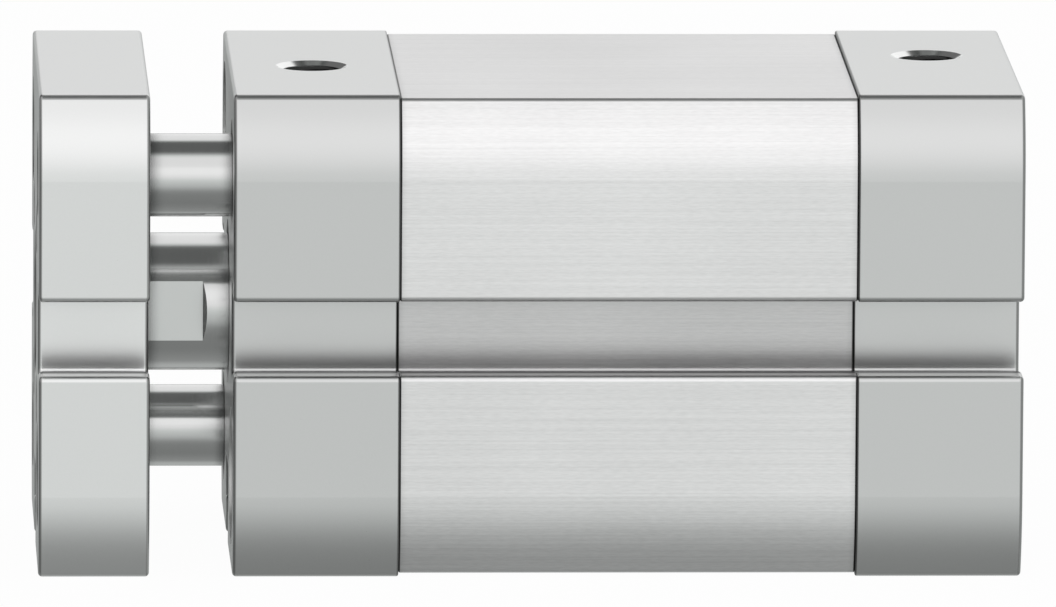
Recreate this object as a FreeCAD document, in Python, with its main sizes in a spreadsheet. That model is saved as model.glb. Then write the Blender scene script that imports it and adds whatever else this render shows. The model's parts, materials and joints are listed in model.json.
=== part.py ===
"""Guided compact pneumatic cylinder with a 20 mm bore and a 20 mm stroke, as a parametric document.

The X axis is the axis of the piston rod and X = 0 is the mounting face of the front cover.
The rod and its yoke plate lie at -X, the rear cover at +X, and Z is up. Sizes are in millimetres.
The pose is the retracted one.
"""
import math
import os

import FreeCAD
import Part
import Sketcher

# Driving dimensions
SIZES = [
    # cylinder
    ("bore", "20"),
    ("stroke", "20"),
    ("cover_length", "12"),
    ("spigot_length", "1.8"),
    ("end_gap", "0.2"),
    # outside of covers, barrel and yoke plate
    ("slot_wall", "1.8"),
    ("slot_depth", "5.8"),
    ("slot_lip", "2.8"),
    ("slot_opening", "5.4"),
    ("slot_inner_width", "6.8"),
    ("barrel_step", "0.25"),
    ("side_flat", "23"),
    ("side_arc_radius", "12.5"),
    ("corner_round", "0.65"),
    ("barrel_corner_round", "0.45"),
    ("lip_round", "0.4"),
    ("slot_round", "0.4"),
    ("edge_round", "0.3"),
    ("joint_round", "0.15"),
    # piston rod and its front end
    ("rod_diameter", "10"),
    ("rod_across_flats", "9"),
    ("rod_flat_length", "4.1"),
    ("rod_flat_slope", "0.6"),
    ("rod_stub_diameter", "6"),
    ("rod_edge_chamfer", "0.3"),
    ("yoke_gap", "6"),
    ("yoke_thickness", "8"),
    ("yoke_seat_depth", "1"),
    ("yoke_seat_clearance", "0.05"),
    ("load_pitch", "12.5"),
    ("load_thread_core", "3.3"),
    ("access_hole_diameter", "7.6"),
    ("mouth_chamfer", "0.25"),
    # fits
    ("running_clearance", "0.03"),
    ("piston_clearance", "0.15"),
    ("seal_clearance", "0.05"),
    ("static_clearance", "0.02"),
    # guide rods
    ("guide_diameter", "6"),
    ("guide_reserve", "2.5"),
    ("guide_channel_clearance", "0.5"),
    ("guide_bush_wall", "1"),
    ("guide_bush_sink", "0.5"),
    ("guide_bush_shoulder", "0.5"),
    ("guide_bush_length", "=cover_length - guide_bush_sink - guide_bush_shoulder"),
    ("guide_shoulder_clearance", "0.35"),
    # rod seal and rod bush
    ("rod_seal_wall", "2"),
    ("rod_seal_length", "3"),
    ("rod_seal_lip", "0.8"),
    ("rod_seal_relief", "0.5"),
    ("rod_seal_sink", "1.3"),
    ("rod_mouth_clearance", "1"),
    ("rod_shoulder", "0.8"),
    ("rod_shoulder_clearance", "0.3"),
    ("rod_bush_wall", "1"),
    ("rod_bush_start", "=rod_seal_sink + rod_seal_length + seal_clearance + rod_shoulder"),
    ("rod_bush_recess", "1.65"),
    ("rod_bush_length", "=cover_length + spigot_length - rod_bush_recess - rod_bush_start"),
    # piston
    ("piston_half_length", "3.2"),
    ("magnet_length", "2"),
    ("piston_hub_wall", "1.5"),
    ("wear_ring_wall", "1.9"),
    ("piston_seal_width", "1.6"),
    ("piston_seal_depth", "1.5"),
    ("piston_seal_chamfer", "0.4"),
    ("cushion_rod_gap", "0.6"),
    ("cushion_wall", "0.6"),
    ("cushion_depth", "1.2"),
    ("cushion_proud", "0.3"),
    # cover seals
    ("cover_seal_section", "0.86"),
    ("cover_seal_groove", "1.1"),
    # cover screws with a mounting thread inside
    ("corner_wall", "1.5563"),
    ("screw_diameter", "8"),
    ("screw_clearance", "0.2"),
    ("screw_head_rim", "0.8"),
    ("screw_head_height", "3"),
    ("screw_head_sink", "0.2"),
    ("screw_engagement", "8"),
    ("mount_thread_core", "4.2"),
    ("mount_thread_depth", "10"),
    ("mount_thread_chamfer", "0.7"),
    ("screw_hex", "3.5"),
    ("screw_hex_depth", "2.5"),
    # air ports
    ("port_core", "4.2"),
    ("port_depth", "7"),
    ("port_chamfer", "0.5"),
    ("port_chamfer_depth", "0.3"),
    ("port_setback", "6"),
    ("front_port_offset", "1.8"),
    ("rear_port_offset", "3.3"),
    ("passage_diameter", "1.6"),
    ("passage_wall", "1"),
    ("rear_pocket_diameter", "12"),
    ("rear_pocket_floor", "4.5"),
    # yoke screw, guide rod screws and piston screw
    ("yoke_screw_diameter", "6"),
    ("yoke_screw_head_rim", "2"),
    ("yoke_screw_head_height", "4"),
    ("yoke_screw_hex", "4"),
    ("yoke_screw_engagement", "9"),
    ("guide_screw_diameter", "3"),
    ("guide_screw_head_rim", "1.25"),
    ("guide_screw_head_height", "3"),
    ("guide_screw_hex", "2.5"),
    ("guide_screw_engagement", "7"),
    ("piston_screw_diameter", "4"),
    ("piston_screw_head_rim", "1.5"),
    ("piston_screw_head_height", "2.2"),
    ("piston_screw_hex", "2.5"),
    ("piston_screw_engagement", "7"),
    ("head_clearance", "0.3"),
    ("socket_floor", "1"),
    ("thread_run_out", "1"),
]

doc = FreeCAD.newDocument("GuidedCompactCylinder")
sheet = doc.addObject("Spreadsheet::Sheet", "Sizes")
for row, (alias, text) in enumerate(SIZES, start=1):
    sheet.set(f"A{row}", alias)
    sheet.set(f"B{row}", text)
    sheet.setAlias(f"B{row}", alias)
doc.recompute()


def number(expression):
    """The present value of an expression."""
    return float(sheet.evalExpression(expression))


# Expressions worked out from the driving dimensions
BORE_R = "(Sizes.bore / 2)"
HALF = f"({BORE_R} + Sizes.slot_wall + Sizes.slot_depth)"
SLOT_FLOOR = f"({BORE_R} + Sizes.slot_wall)"
SLOT_LIP = f"({HALF} - Sizes.slot_lip)"
CORNER = f"(({BORE_R} + Sizes.corner_wall + Sizes.screw_diameter / 2) / sqrt(2))"
PISTON_LENGTH = "(2 * Sizes.piston_half_length + Sizes.magnet_length)"
CUSHIONED_LENGTH = f"({PISTON_LENGTH} + 2 * Sizes.cushion_proud)"
BARREL_LENGTH = f"({CUSHIONED_LENGTH} + Sizes.stroke + 2 * Sizes.spigot_length + 2 * Sizes.end_gap)"
BARREL_END = f"(Sizes.cover_length + {BARREL_LENGTH})"
BODY_END = f"({BARREL_END} + Sizes.cover_length)"
YOKE_BACK = "(-Sizes.yoke_gap)"
YOKE_FRONT = f"({YOKE_BACK} - Sizes.yoke_thickness)"
ROD_R = "(Sizes.rod_diameter / 2)"
GUIDE_R = "(Sizes.guide_diameter / 2)"
ROD_FRONT = f"({YOKE_BACK} - Sizes.yoke_seat_depth)"
PISTON_REAR = f"({BARREL_END} - Sizes.spigot_length - Sizes.end_gap - Sizes.cushion_proud)"
PISTON_FRONT = f"({PISTON_REAR} - {PISTON_LENGTH})"
STUB_R = "(Sizes.rod_stub_diameter / 2)"
PISTON_R = f"({BORE_R} - Sizes.piston_clearance)"
SPIGOT_R = f"({BORE_R} - Sizes.static_clearance)"
# How far a cutting tool runs past the face that it opens, and a spigot into its cover
OVERRUN = "1"


# Helpers for sketches and features
def convex_arc(start, end, radius):
    """The short arc between two points of a loop that runs anticlockwise, bulging outwards."""
    chord = end - start
    middle = (start + end) / 2
    inward = FreeCAD.Vector(-chord.y, chord.x, 0).normalize()
    centre = middle + inward * math.sqrt(radius ** 2 - chord.Length ** 2 / 4)
    circle = Part.Circle(centre, FreeCAD.Vector(0, 0, 1), radius)
    return Part.ArcOfCircle(circle, circle.parameter(start), circle.parameter(end))


def new_sketch(body, role, label):
    """A sketch on one of the body's own origin planes."""
    sketch = body.newObject("Sketcher::SketchObject", label)
    plane = next(feature for feature in body.Origin.OriginFeatures if feature.Role == role)
    sketch.AttachmentSupport = (plane, [""])
    sketch.MapMode = "FlatFace"
    return sketch


def add_outline(sketch, points, radii=None):
    """Add a closed loop whose corners are pairs of expressions; radii makes the named sides arcs."""
    radii = radii or {}
    places = [FreeCAD.Vector(number(u), number(v), 0) for u, v in points]
    first = sketch.GeometryCount
    for side, start in enumerate(places):
        end = places[(side + 1) % len(places)]
        if side in radii:
            sketch.addGeometry(convex_arc(start, end, number(radii[side])))
        else:
            sketch.addGeometry(Part.LineSegment(start, end))
    rows = []
    bindings = []
    for side, place in enumerate(places):
        following = (side + 1) % len(places)
        rows.append(Sketcher.Constraint("Coincident", first + side, 2, first + following, 1))
        bindings.append(None)
        for kind, size, expression, axis in (
            ("DistanceX", place.x, points[side][0], -2),
            ("DistanceY", place.y, points[side][1], -1),
        ):
            if expression == "0":
                rows.append(Sketcher.Constraint("PointOnObject", first + side, 1, axis))
                bindings.append(None)
            else:
                rows.append(Sketcher.Constraint(kind, -1, 1, first + side, 1, size))
                bindings.append(expression)
    for side, radius in radii.items():
        rows.append(Sketcher.Constraint("Radius", first + side, number(radius)))
        bindings.append(radius)
    start_row = sketch.ConstraintCount
    sketch.addConstraint(rows)
    for offset, expression in enumerate(bindings):
        if expression:
            sketch.setExpression(f"Constraints[{start_row + offset}]", expression)


def place(item, x="0", y="0", z="0"):
    """Bind where an object stands."""
    for axis, expression in (("x", x), ("y", y), ("z", z)):
        if expression != "0":
            item.setExpression(f"Placement.Base.{axis}", expression)
    return item


def turned(label, points):
    """A turned piece: a loop of (x, radius) corners revolved round the X axis."""
    body = doc.addObject("PartDesign::Body", label)
    sketch = new_sketch(body, "XZ_Plane", f"{label}_profile")
    add_outline(sketch, points)
    turn = body.newObject("PartDesign::Revolution", f"{label}_turn")
    turn.Profile = sketch
    turn.ReferenceAxis = (sketch, ["H_Axis"])
    turn.Angle = 360
    return body


def ring(label, x_start, x_end, inner, outer):
    """A plain turned ring."""
    return turned(label, [(x_start, inner), (x_end, inner), (x_end, outer), (x_start, outer)])


def drill(label, x_start, x_end, radius):
    """A plain drill along X."""
    return turned(label, [(x_start, "0"), (x_end, "0"), (x_end, radius), (x_start, radius)])


def upright(body):
    """Turn a piece modelled along X so that its axis points up."""
    body.Placement = FreeCAD.Placement(
        FreeCAD.Vector(), FreeCAD.Rotation(FreeCAD.Vector(0, 1, 0), -90)
    )
    return body


def cut(label, base, tools):
    """One piece with holes: the base less all the tools."""
    result = doc.addObject("Part::Cut", label)
    result.Base = base
    if len(tools) == 1:
        result.Tool = tools[0]
        return result
    holes = doc.addObject("Part::MultiFuse", f"{label}_holes")
    holes.Shapes = tools
    result.Tool = holes
    return result


def group(label, items):
    """Several like pieces in one node."""
    result = doc.addObject("Part::Compound", label)
    result.Links = items
    return result


def hexagon(label, x_start, depth, across_flats):
    """A hexagonal socket along X."""
    prism = doc.addObject("Part::Prism", label)
    prism.Polygon = 6
    prism.setExpression("Circumradius", f"{across_flats} / sqrt(3)")
    prism.setExpression("Height", depth)
    prism.Placement = FreeCAD.Placement(
        FreeCAD.Vector(), FreeCAD.Rotation(FreeCAD.Vector(0, 1, 0), 90)
    )
    return place(prism, x=x_start)


# Outside shape of covers, barrel and yoke plate
def side_slot(side, half):
    """Corners of the sensor slot in one side, in the order of an anticlockwise outline."""
    opening = "Sizes.slot_opening / 2"
    inner = "Sizes.slot_inner_width / 2"
    corners = [
        (half, f"-{opening}"),
        (SLOT_LIP, f"-{opening}"),
        (SLOT_LIP, f"-{inner}"),
        (SLOT_FLOOR, f"-{inner}"),
        (SLOT_FLOOR, inner),
        (SLOT_LIP, inner),
        (SLOT_LIP, opening),
        (half, opening),
    ]
    if side == "bottom":
        return [(across, f"-{out}") for out, across in corners]
    if side == "back":
        return corners
    return [(f"-{out}", f"-({across})") for out, across in corners]


def profile(label, x_start, length, corner_round, step="0"):
    """A length of the slotted profile, with its long edges rounded; step sets it back from the covers."""
    half = f"({HALF} - {step})"
    radius = f"(Sizes.side_arc_radius - {step})"
    flat = "Sizes.side_flat / 2"
    arc_centre = f"({half} - {radius})"
    corner = f"({arc_centre} + sqrt({radius}^2 - ({half} - {flat})^2))"
    points = side_slot("bottom", half)
    radii = {len(points): radius}
    points += [(corner, f"-{half}"), (half, f"-{flat}")]
    points += side_slot("back", half)
    radii[len(points)] = radius
    points += [(half, flat), (corner, half)]
    radii[len(points)] = radius
    points += [(f"-{corner}", half), (f"-{half}", flat)]
    points += side_slot("front", half)
    radii[len(points)] = radius
    points += [(f"-{half}", f"-{flat}"), (f"-{corner}", f"-{half}")]

    body = doc.addObject("PartDesign::Body", f"{label}_block")
    sketch = new_sketch(body, "YZ_Plane", f"{label}_outline")
    sketch.setExpression("AttachmentOffset.Base.z", x_start)
    add_outline(sketch, points, radii)
    pad = body.newObject("PartDesign::Pad", f"{label}_pad")
    pad.Profile = sketch
    pad.setExpression("Length", length)
    doc.recompute()

    tall, wide = number(half), number(corner)
    opening = number("Sizes.slot_opening / 2")
    inner = number("Sizes.slot_inner_width / 2")
    floor, lip = number(SLOT_FLOOR), number(SLOT_LIP)
    round_long_edges(body, corner_round, [(wide, tall)])
    round_long_edges(body, "Sizes.lip_round", [(tall, opening), (opening, tall)])
    round_long_edges(body, "Sizes.slot_round", [(lip, opening), (opening, lip)])
    round_long_edges(body, "Sizes.slot_round", [(floor, inner), (inner, floor)])
    return body


def round_long_edges(body, radius, spots):
    """Round the edges along X that stand at the given distances from the axis, whatever their side."""
    base = body.Tip
    names = []
    for count, edge in enumerate(base.Shape.Edges, start=1):
        start, end = edge.Vertexes[0].Point, edge.Vertexes[-1].Point
        along_x = math.isclose(start.y, end.y, abs_tol=1e-4) and math.isclose(start.z, end.z, abs_tol=1e-4)
        if along_x and any(
            math.isclose(abs(start.y), y, abs_tol=1e-4) and math.isclose(abs(start.z), z, abs_tol=1e-4)
            for y, z in spots
        ):
            names.append(f"Edge{count}")
    add_fillet(body, base, names, radius)


def round_end_edges(body, radius, x_end):
    """Round the outline of the end face at x_end."""
    base = body.Tip
    names = [
        f"Edge{count}"
        for count, edge in enumerate(base.Shape.Edges, start=1)
        if math.isclose(edge.BoundBox.XMin, x_end, abs_tol=1e-4)
        and math.isclose(edge.BoundBox.XMax, x_end, abs_tol=1e-4)
    ]
    add_fillet(body, base, names, radius)


def add_fillet(body, base, names, radius):
    """Round the named edges of the base feature."""
    fillet = body.newObject("PartDesign::Fillet", f"{body.Name}_round")
    fillet.Base = (base, names)
    fillet.setExpression("Radius", radius)
    doc.recompute()


# Holes that more than one piece shares
def corner_place(item, across, up):
    """Stand an item on one of the four corner axes; across and up are 1 or -1."""
    return place(item, y=f"{across} * {CORNER}", z=f"{up} * {CORNER}")


GUIDE_CORNERS = {"upper": (-1, 1), "lower": (1, -1)}
FREE_CORNERS = {"back": (1, 1), "front": (-1, -1)}
ALL_CORNERS = {**GUIDE_CORNERS, **FREE_CORNERS}

SCREW_R = "(Sizes.screw_diameter / 2)"
SCREW_SEAT = "(Sizes.screw_head_sink + Sizes.screw_head_height)"
SCREW_LENGTH = f"(Sizes.cover_length - {SCREW_SEAT} + Sizes.screw_engagement)"
SCREW_HEAD_R = f"({SCREW_R} + Sizes.screw_head_rim)"
COUNTERBORE_R = f"({SCREW_HEAD_R} + Sizes.screw_clearance)"
CHANNEL_R = f"({GUIDE_R} + Sizes.guide_channel_clearance)"


def screw_hole(label, face, inward):
    """The counterbored hole for a cover screw; inward is 1 or -1 along X from the cover's face."""
    seat = f"({face} + {inward} * {SCREW_SEAT})"
    inside = f"({face} + {inward} * (Sizes.cover_length + {OVERRUN}))"
    outside = f"({face} - {inward} * {OVERRUN})"
    shank = f"({SCREW_R} + Sizes.screw_clearance)"
    return turned(
        label,
        [
            (outside, "0"),
            (outside, COUNTERBORE_R),
            (seat, COUNTERBORE_R),
            (seat, shank),
            (inside, shank),
            (inside, "0"),
        ],
    )


def port_hole(label, x, y, bottom):
    """A threaded air port from the top face, with its narrow passage down to the given height."""
    thread_end = f"({HALF} - Sizes.port_depth)"
    core = "Sizes.port_core / 2"
    chamfer = f"({HALF} - Sizes.port_chamfer_depth)"
    mouth = "(Sizes.port_core / 2 + Sizes.port_chamfer)"
    passage = "Sizes.passage_diameter / 2"
    above = f"({HALF} + {OVERRUN})"
    hole = turned(
        label,
        [
            (bottom, "0"),
            (bottom, passage),
            (thread_end, passage),
            (thread_end, core),
            (chamfer, core),
            (HALF, mouth),
            (above, mouth),
            (above, "0"),
        ],
    )
    return place(upright(hole), x=x, y=y)


def spigot(label, joint, inward):
    """The round spigot of a cover with its seal groove; inward is 1 or -1 along X from the joint."""
    lip = "((Sizes.spigot_length - Sizes.cover_seal_groove) / 2)"
    root = f"({joint} - {inward} * {OVERRUN})"
    groove_start = f"({joint} + {inward} * {lip})"
    groove_end = f"({joint} + {inward} * ({lip} + Sizes.cover_seal_groove))"
    tip = f"({joint} + {inward} * Sizes.spigot_length)"
    groove_r = f"({BORE_R} - Sizes.cover_seal_section - 2 * Sizes.static_clearance)"
    return turned(
        label,
        [
            (root, "0"),
            (root, SPIGOT_R),
            (groove_start, SPIGOT_R),
            (groove_start, groove_r),
            (groove_end, groove_r),
            (groove_end, SPIGOT_R),
            (tip, SPIGOT_R),
            (tip, "0"),
        ],
    )


def cover_blank(label, face, joint, inward):
    """A cover before its holes: a length of profile with both end outlines rounded, and its spigot."""
    x_start = face if inward > 0 else joint
    block = profile(label, x_start, "Sizes.cover_length", "Sizes.corner_round")
    round_end_edges(block, "Sizes.edge_round", number(face))
    round_end_edges(block, "Sizes.joint_round", number(joint))
    blank = doc.addObject("Part::Fuse", f"{label}_blank")
    blank.Base = block
    blank.Tool = spigot(f"{label}_spigot", joint, inward)
    return blank


# Front cover
BUSH_HOLE_R = f"({ROD_R} + Sizes.rod_bush_wall)"
SEAL_HOLE_R = f"({ROD_R} + Sizes.rod_seal_wall)"
SEAL_START = "(Sizes.rod_seal_sink - Sizes.seal_clearance)"
SEAL_END = "(Sizes.rod_seal_sink + Sizes.rod_seal_length + Sizes.seal_clearance)"
BUSH_START = "Sizes.rod_bush_start"
COVER_INSIDE = f"(Sizes.cover_length + Sizes.spigot_length + {OVERRUN})"
GUIDE_HOLE_R = f"({GUIDE_R} + Sizes.guide_bush_wall)"
GUIDE_BUSH_END = "(Sizes.guide_bush_sink + Sizes.guide_bush_length)"
PASSAGE_HEIGHT = f"({BUSH_HOLE_R} + Sizes.passage_wall + Sizes.passage_diameter / 2)"


def make_front_cover():
    """Bearing cap: rod bush and seal in the middle, guide rods and cover screws on the corners."""
    mouth = f"({ROD_R} + Sizes.rod_mouth_clearance)"
    shoulder = f"({ROD_R} + Sizes.rod_shoulder_clearance)"
    tools = [
        turned(
            "front_cover_bore",
            [
                (f"-{OVERRUN}", "0"),
                (f"-{OVERRUN}", mouth),
                (SEAL_START, mouth),
                (SEAL_START, SEAL_HOLE_R),
                (SEAL_END, SEAL_HOLE_R),
                (SEAL_END, shoulder),
                (BUSH_START, shoulder),
                (BUSH_START, BUSH_HOLE_R),
                (COVER_INSIDE, BUSH_HOLE_R),
                (COVER_INSIDE, "0"),
            ],
        )
    ]
    through = f"({GUIDE_R} + Sizes.guide_shoulder_clearance)"
    for name, (across, up) in GUIDE_CORNERS.items():
        hole = turned(
            f"front_cover_{name}_guide_hole",
            [
                (f"-{OVERRUN}", "0"),
                (f"-{OVERRUN}", GUIDE_HOLE_R),
                (GUIDE_BUSH_END, GUIDE_HOLE_R),
                (GUIDE_BUSH_END, through),
                (COVER_INSIDE, through),
                (COVER_INSIDE, "0"),
            ],
        )
        tools.append(corner_place(hole, across, up))
    for name, (across, up) in FREE_CORNERS.items():
        tools.append(corner_place(screw_hole(f"front_cover_{name}_screw_hole", "0", 1), across, up))
    offset = "-Sizes.front_port_offset"
    tools.append(port_hole("front_port", "Sizes.port_setback", offset, PASSAGE_HEIGHT))
    passage = drill("front_passage", "Sizes.port_setback", COVER_INSIDE, "Sizes.passage_diameter / 2")
    tools.append(place(passage, y=offset, z=PASSAGE_HEIGHT))
    blank = cover_blank("front_cover", "0", "Sizes.cover_length", 1)
    return cut("front_cover", blank, tools)


# Rear cover
def make_rear_cover():
    """End cap: a pocket for the piston screw and the air, and four cover screws."""
    pocket_end = f"({BODY_END} - Sizes.rear_pocket_floor)"
    pocket_start = f"({BARREL_END} - Sizes.spigot_length - {OVERRUN})"
    tools = [drill("rear_pocket", pocket_start, pocket_end, "Sizes.rear_pocket_diameter / 2")]
    for name, (across, up) in ALL_CORNERS.items():
        hole = screw_hole(f"rear_cover_{name}_screw_hole", BODY_END, -1)
        tools.append(corner_place(hole, across, up))
    port_x = f"({BODY_END} - Sizes.port_setback)"
    tools.append(port_hole("rear_port", port_x, "Sizes.rear_port_offset", "0"))
    blank = cover_blank("rear_cover", BODY_END, BARREL_END, -1)
    return cut("rear_cover", blank, tools)


# Barrel
def make_barrel():
    """Drawn profile with its bore; the corner channels are tapped where cover screws enter."""
    tools = [drill("barrel_bore", "0", BODY_END, BORE_R)]
    front_thread = "(Sizes.cover_length + Sizes.screw_engagement + Sizes.thread_run_out)"
    rear_thread = f"({BARREL_END} - Sizes.screw_engagement - Sizes.thread_run_out)"
    for name, (across, up) in ALL_CORNERS.items():
        channel = [("0", "0")]
        if name in FREE_CORNERS:
            channel += [("0", SCREW_R), (front_thread, SCREW_R), (front_thread, CHANNEL_R)]
        else:
            channel += [("0", CHANNEL_R)]
        channel += [
            (rear_thread, CHANNEL_R),
            (rear_thread, SCREW_R),
            (BODY_END, SCREW_R),
            (BODY_END, "0"),
        ]
        tools.append(corner_place(turned(f"barrel_{name}_channel", channel), across, up))
    block = profile(
        "barrel", "Sizes.cover_length", BARREL_LENGTH, "Sizes.barrel_corner_round", "Sizes.barrel_step"
    )
    round_end_edges(block, "Sizes.joint_round", number("Sizes.cover_length"))
    round_end_edges(block, "Sizes.joint_round", number(BARREL_END))
    return cut("barrel", block, tools)


# Yoke plate
def counterbored_seat(label, screw, seat):
    """A screw hole through the yoke plate: head from the front, and a seat for a rod from the back."""
    shank = f"Sizes.{screw}_diameter"
    head_r = f"({shank} / 2 + Sizes.{screw}_head_rim + Sizes.head_clearance)"
    head_seat = f"({YOKE_FRONT} + Sizes.{screw}_head_height + Sizes.head_clearance)"
    chamfer = f"({YOKE_FRONT} + Sizes.mouth_chamfer)"
    mouth = f"({head_r} + Sizes.mouth_chamfer)"
    shank_r = f"({shank} / 2 + Sizes.screw_clearance)"
    seat_r = f"({seat} + Sizes.yoke_seat_clearance)"
    before = f"({YOKE_FRONT} - {OVERRUN})"
    behind = f"({YOKE_BACK} + {OVERRUN})"
    return turned(
        label,
        [
            (before, "0"),
            (before, mouth),
            (YOKE_FRONT, mouth),
            (chamfer, head_r),
            (head_seat, head_r),
            (head_seat, shank_r),
            (ROD_FRONT, shank_r),
            (ROD_FRONT, seat_r),
            (behind, seat_r),
            (behind, "0"),
        ],
    )


def through_hole(label, diameter):
    """A plain hole through the yoke plate, with a small chamfer at the front."""
    radius = f"({diameter} / 2)"
    mouth = f"({radius} + Sizes.mouth_chamfer)"
    before = f"({YOKE_FRONT} - {OVERRUN})"
    behind = f"({YOKE_BACK} + {OVERRUN})"
    chamfer = f"({YOKE_FRONT} + Sizes.mouth_chamfer)"
    return turned(
        label,
        [
            (before, "0"),
            (before, mouth),
            (YOKE_FRONT, mouth),
            (chamfer, radius),
            (behind, radius),
            (behind, "0"),
        ],
    )


def make_yoke_plate():
    """Plate that joins the piston rod and the guide rods, with threads for the load."""
    tools = [counterbored_seat("yoke_rod_seat", "yoke_screw", ROD_R)]
    for name, (across, up) in GUIDE_CORNERS.items():
        seat = counterbored_seat(f"yoke_{name}_guide_seat", "guide_screw", GUIDE_R)
        tools.append(corner_place(seat, across, up))
    for name, (across, up) in FREE_CORNERS.items():
        hole = through_hole(f"yoke_{name}_access_hole", "Sizes.access_hole_diameter")
        tools.append(corner_place(hole, across, up))
    for across in (-1, 1):
        for up in (-1, 1):
            hole = through_hole(f"yoke_load_hole_{across + 1}{up + 1}", "Sizes.load_thread_core")
            place(hole, y=f"{across} * Sizes.load_pitch / 2", z=f"{up} * Sizes.load_pitch / 2")
            tools.append(hole)
    block = profile("yoke_plate", YOKE_FRONT, "Sizes.yoke_thickness", "Sizes.corner_round")
    round_end_edges(block, "Sizes.edge_round", number(YOKE_FRONT))
    round_end_edges(block, "Sizes.edge_round", number(YOKE_BACK))
    return cut("yoke_plate", block, tools)


# Rods
def threaded_end(front, core, depth):
    """Corners of a tapped hole in the front end of a rod."""
    bottom = f"({front} + {depth})"
    return [(bottom, "0"), (bottom, core)]


def make_piston_rod():
    """Rod with spanner flats behind the yoke plate, a tapped front end and a stub for the piston."""
    chamfer = "Sizes.rod_edge_chamfer"
    core = "(Sizes.yoke_screw_diameter / 2)"
    front_depth = "(Sizes.yoke_screw_engagement + Sizes.thread_run_out)"
    stub_end = f"({PISTON_REAR} - Sizes.end_gap)"
    rear_core = "(Sizes.piston_screw_diameter / 2)"
    rear_bottom = f"({PISTON_REAR} - Sizes.piston_screw_engagement - Sizes.thread_run_out)"
    points = threaded_end(ROD_FRONT, core, front_depth)
    points += [
        (ROD_FRONT, core),
        (ROD_FRONT, f"({ROD_R} - {chamfer})"),
        (f"({ROD_FRONT} + {chamfer})", ROD_R),
        (PISTON_FRONT, ROD_R),
        (PISTON_FRONT, STUB_R),
        (stub_end, STUB_R),
        (stub_end, rear_core),
        (rear_bottom, rear_core),
        (rear_bottom, "0"),
    ]
    rod = turned("piston_rod", points)
    sketch = new_sketch(rod, "XY_Plane", "piston_rod_flats_outline")
    flat = "Sizes.rod_across_flats / 2"
    flat_end = f"({YOKE_BACK} + Sizes.rod_flat_length)"
    outside = f"({ROD_R} + {OVERRUN})"
    run = f"(({outside} - {flat}) * Sizes.rod_flat_slope)"
    for side in ("", "-"):
        add_outline(
            sketch,
            [
                (ROD_FRONT, f"{side}({flat})"),
                (flat_end, f"{side}({flat})"),
                (f"({flat_end} + {run})", f"{side}{outside}"),
                (ROD_FRONT, f"{side}{outside}"),
            ],
        )
    flats = rod.newObject("PartDesign::Pocket", "piston_rod_flats")
    flats.Profile = sketch
    flats.Type = "ThroughAll"
    flats.Midplane = True
    return rod


def make_guide_rod(name, across, up):
    """Guide rod, tapped in front, long enough to stay in its bush over the whole stroke."""
    chamfer = "Sizes.rod_edge_chamfer"
    core = "(Sizes.guide_screw_diameter / 2)"
    tip = "(Sizes.cover_length + Sizes.stroke + Sizes.guide_reserve)"
    depth = "(Sizes.guide_screw_engagement + Sizes.thread_run_out)"
    points = threaded_end(ROD_FRONT, core, depth)
    points += [
        (ROD_FRONT, core),
        (ROD_FRONT, f"({GUIDE_R} - {chamfer})"),
        (f"({ROD_FRONT} + {chamfer})", GUIDE_R),
        (f"({tip} - {chamfer})", GUIDE_R),
        (tip, f"({GUIDE_R} - {chamfer})"),
        (tip, "0"),
    ]
    return corner_place(turned(f"{name}_guide_rod", points), across, up)


# Bushes and seals in the front cover
def make_rod_bush():
    """Plain bearing of the piston rod."""
    end = f"({BUSH_START} + Sizes.rod_bush_length)"
    inner = f"({ROD_R} + Sizes.running_clearance)"
    return ring("rod_bush", BUSH_START, end, inner, f"({BUSH_HOLE_R} - Sizes.static_clearance)")


def make_guide_bush(name, across, up):
    """Plain bearing of a guide rod, sunk a little below the cover's face."""
    inner = f"({GUIDE_R} + Sizes.running_clearance)"
    outer = f"({GUIDE_HOLE_R} - Sizes.static_clearance)"
    bush = ring(f"{name}_guide_bush", "Sizes.guide_bush_sink", GUIDE_BUSH_END, inner, outer)
    return corner_place(bush, across, up)


def make_rod_seal():
    """Rod seal with a sealing lip at the back and a wiper lip at the front."""
    start = "Sizes.rod_seal_sink"
    end = "(Sizes.rod_seal_sink + Sizes.rod_seal_length)"
    outer = f"({SEAL_HOLE_R} - Sizes.static_clearance)"
    lip = f"({ROD_R} + Sizes.seal_clearance)"
    relief = f"({lip} + Sizes.rod_seal_relief)"
    return turned(
        "rod_seal",
        [
            (start, outer),
            (start, relief),
            (f"({start} - Sizes.rod_seal_lip)", f"({lip} + Sizes.rod_seal_relief / 2)"),
            (f"({start} - Sizes.rod_seal_lip)", lip),
            (start, lip),
            (f"({start} + Sizes.rod_seal_lip)", relief),
            (f"({end} - Sizes.rod_seal_lip)", relief),
            (end, lip),
            (end, outer),
        ],
    )


def make_cover_seal(label, joint, inward):
    """O-ring on the spigot of a cover."""
    seal = doc.addObject("Part::Torus", label)
    seal.setExpression("Radius1", f"{BORE_R} - Sizes.static_clearance - Sizes.cover_seal_section / 2")
    seal.setExpression("Radius2", "Sizes.cover_seal_section / 2")
    seal.Placement = FreeCAD.Placement(
        FreeCAD.Vector(), FreeCAD.Rotation(FreeCAD.Vector(0, 1, 0), 90)
    )
    return place(seal, x=f"{joint} + {inward} * Sizes.spigot_length / 2")


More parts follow.
